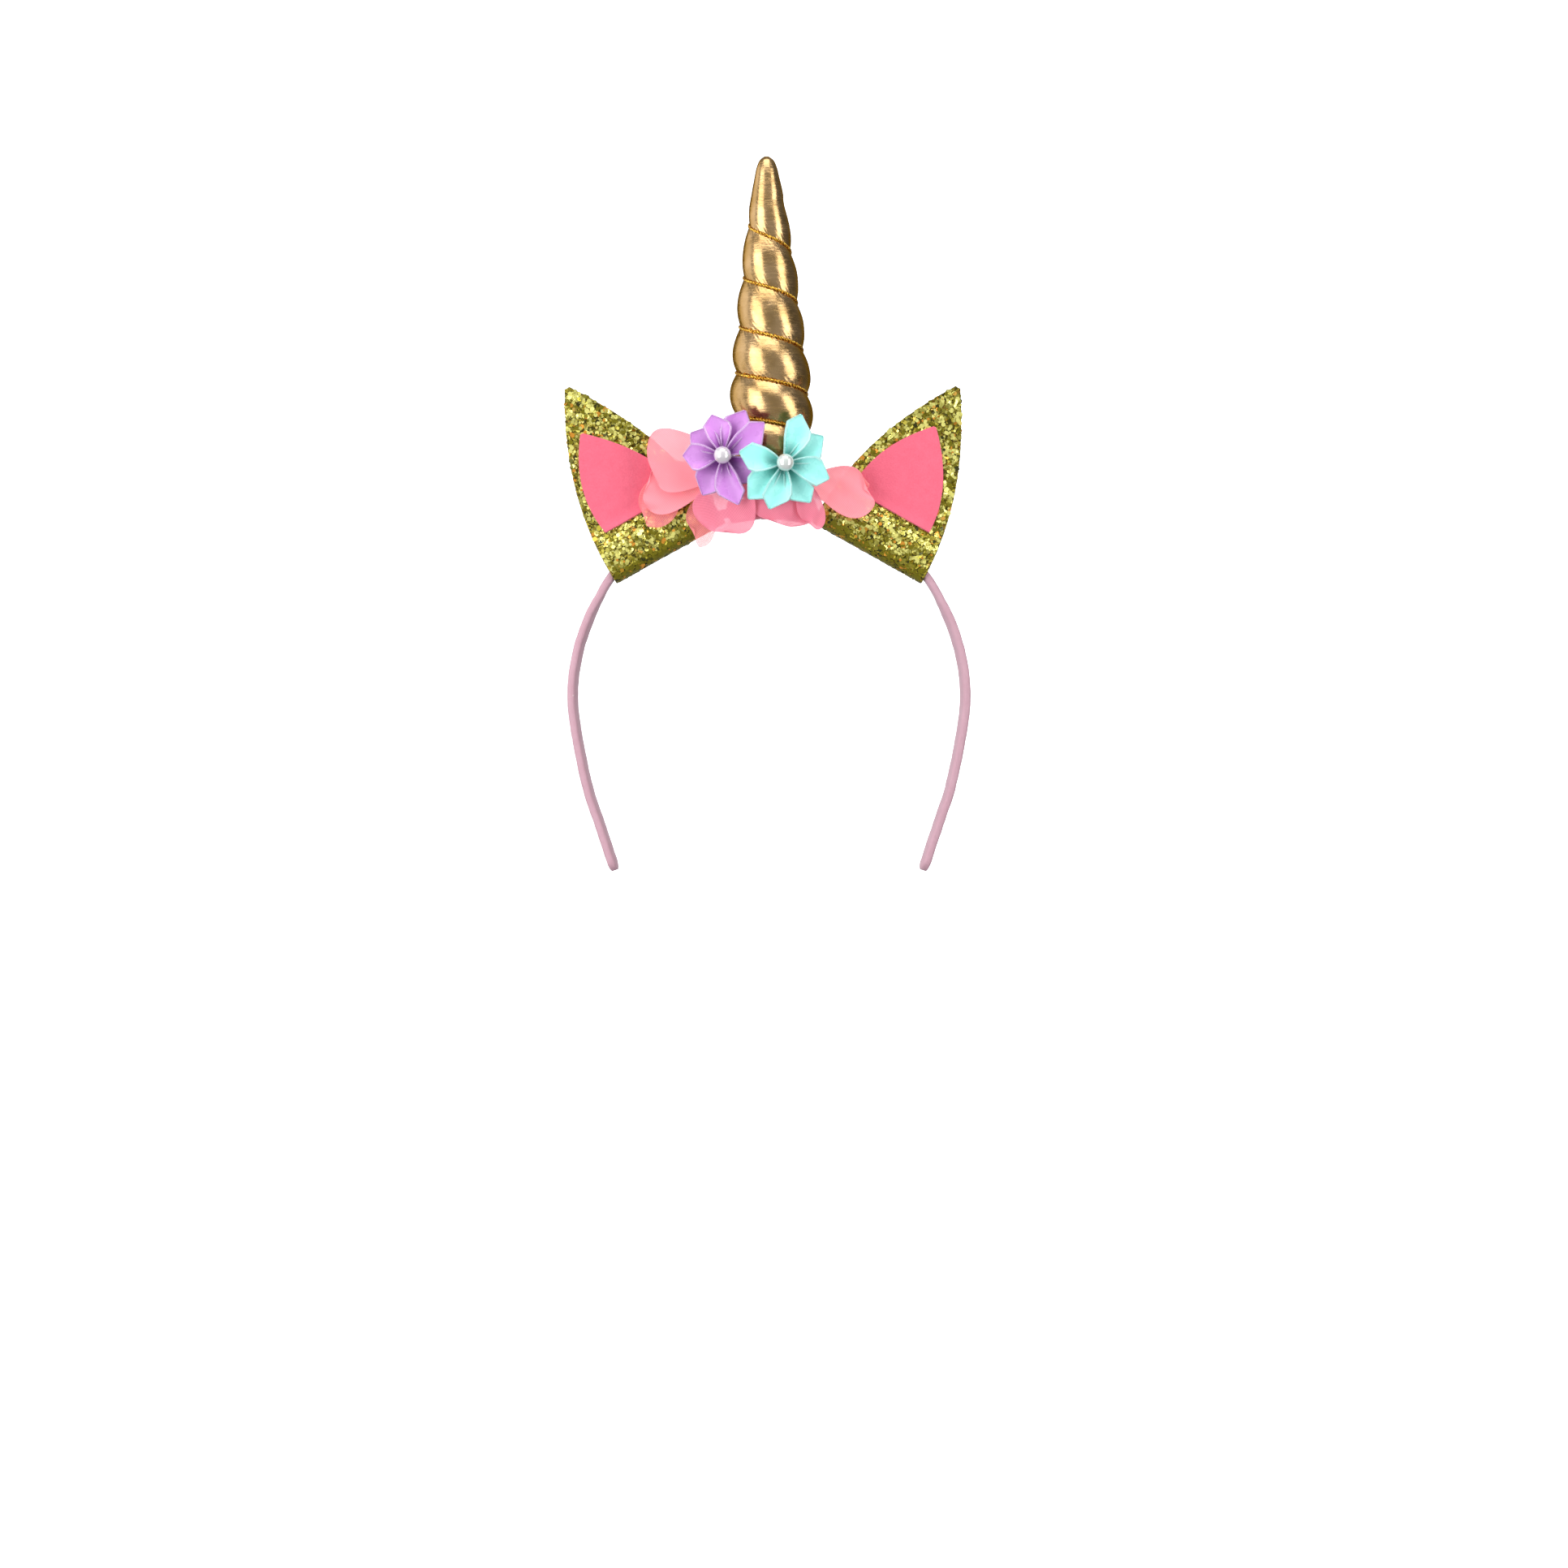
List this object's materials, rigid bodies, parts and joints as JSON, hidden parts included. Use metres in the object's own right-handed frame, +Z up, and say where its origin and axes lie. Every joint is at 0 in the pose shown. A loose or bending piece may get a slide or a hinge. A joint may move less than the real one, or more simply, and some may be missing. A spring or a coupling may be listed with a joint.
{
  "type": "unicorn horn headband",
  "caption": "Costume headband with a puffed gold unicorn horn, glitter ears with felt insides, sheer pink petals and two satin ribbon flowers with pearls.",
  "frame": {"origin": "middle of the underside of the pink wrap at the crown, where the headband rests on the head", "axes": "+X to the right of a front view, +Y to the back of the head, +Z up through the horn"},
  "size_m": [0.164, 0.0449, 0.2907],
  "materials": {
    "band_satin": "satin",
    "wrap_felt": "matte",
    "horn_lame": "metallic gloss",
    "gold_cord": "metallic",
    "ear_glitter": "glitter",
    "ear_felt": "matte",
    "pink_chiffon": "sheer",
    "lilac_ribbon": "satin",
    "mint_ribbon": "satin",
    "pearl": "pearlescent"
  },
  "bodies": {
    "root": {"headband": "band_satin", "crown_wrap": "wrap_felt", "horn": "horn_lame", "horn_cord": "gold_cord", "ear_left": "ear_glitter", "ear_right": "ear_glitter", "ear_felt_left": "ear_felt", "ear_felt_right": "ear_felt", "chiffon_front_left": "pink_chiffon", "chiffon_front_middle": "pink_chiffon", "chiffon_front_right": "pink_chiffon", "chiffon_left_hanging": "pink_chiffon", "chiffon_left_low": "pink_chiffon", "chiffon_left_middle": "pink_chiffon", "chiffon_left_top": "pink_chiffon", "chiffon_right_low": "pink_chiffon", "chiffon_right_top": "pink_chiffon", "lilac_petal_1": "lilac_ribbon", "lilac_petal_2": "lilac_ribbon", "lilac_petal_3": "lilac_ribbon", "lilac_petal_4": "lilac_ribbon", "lilac_petal_5": "lilac_ribbon", "lilac_petal_6": "lilac_ribbon", "lilac_petal_7": "lilac_ribbon", "lilac_petal_8": "lilac_ribbon", "mint_petal_1": "mint_ribbon", "mint_petal_2": "mint_ribbon", "mint_petal_3": "mint_ribbon", "mint_petal_4": "mint_ribbon", "mint_petal_5": "mint_ribbon", "mint_petal_6": "mint_ribbon", "mint_petal_7": "mint_ribbon", "lilac_pearl": "pearl", "mint_pearl": "pearl"}
  },
  "joints": []
}
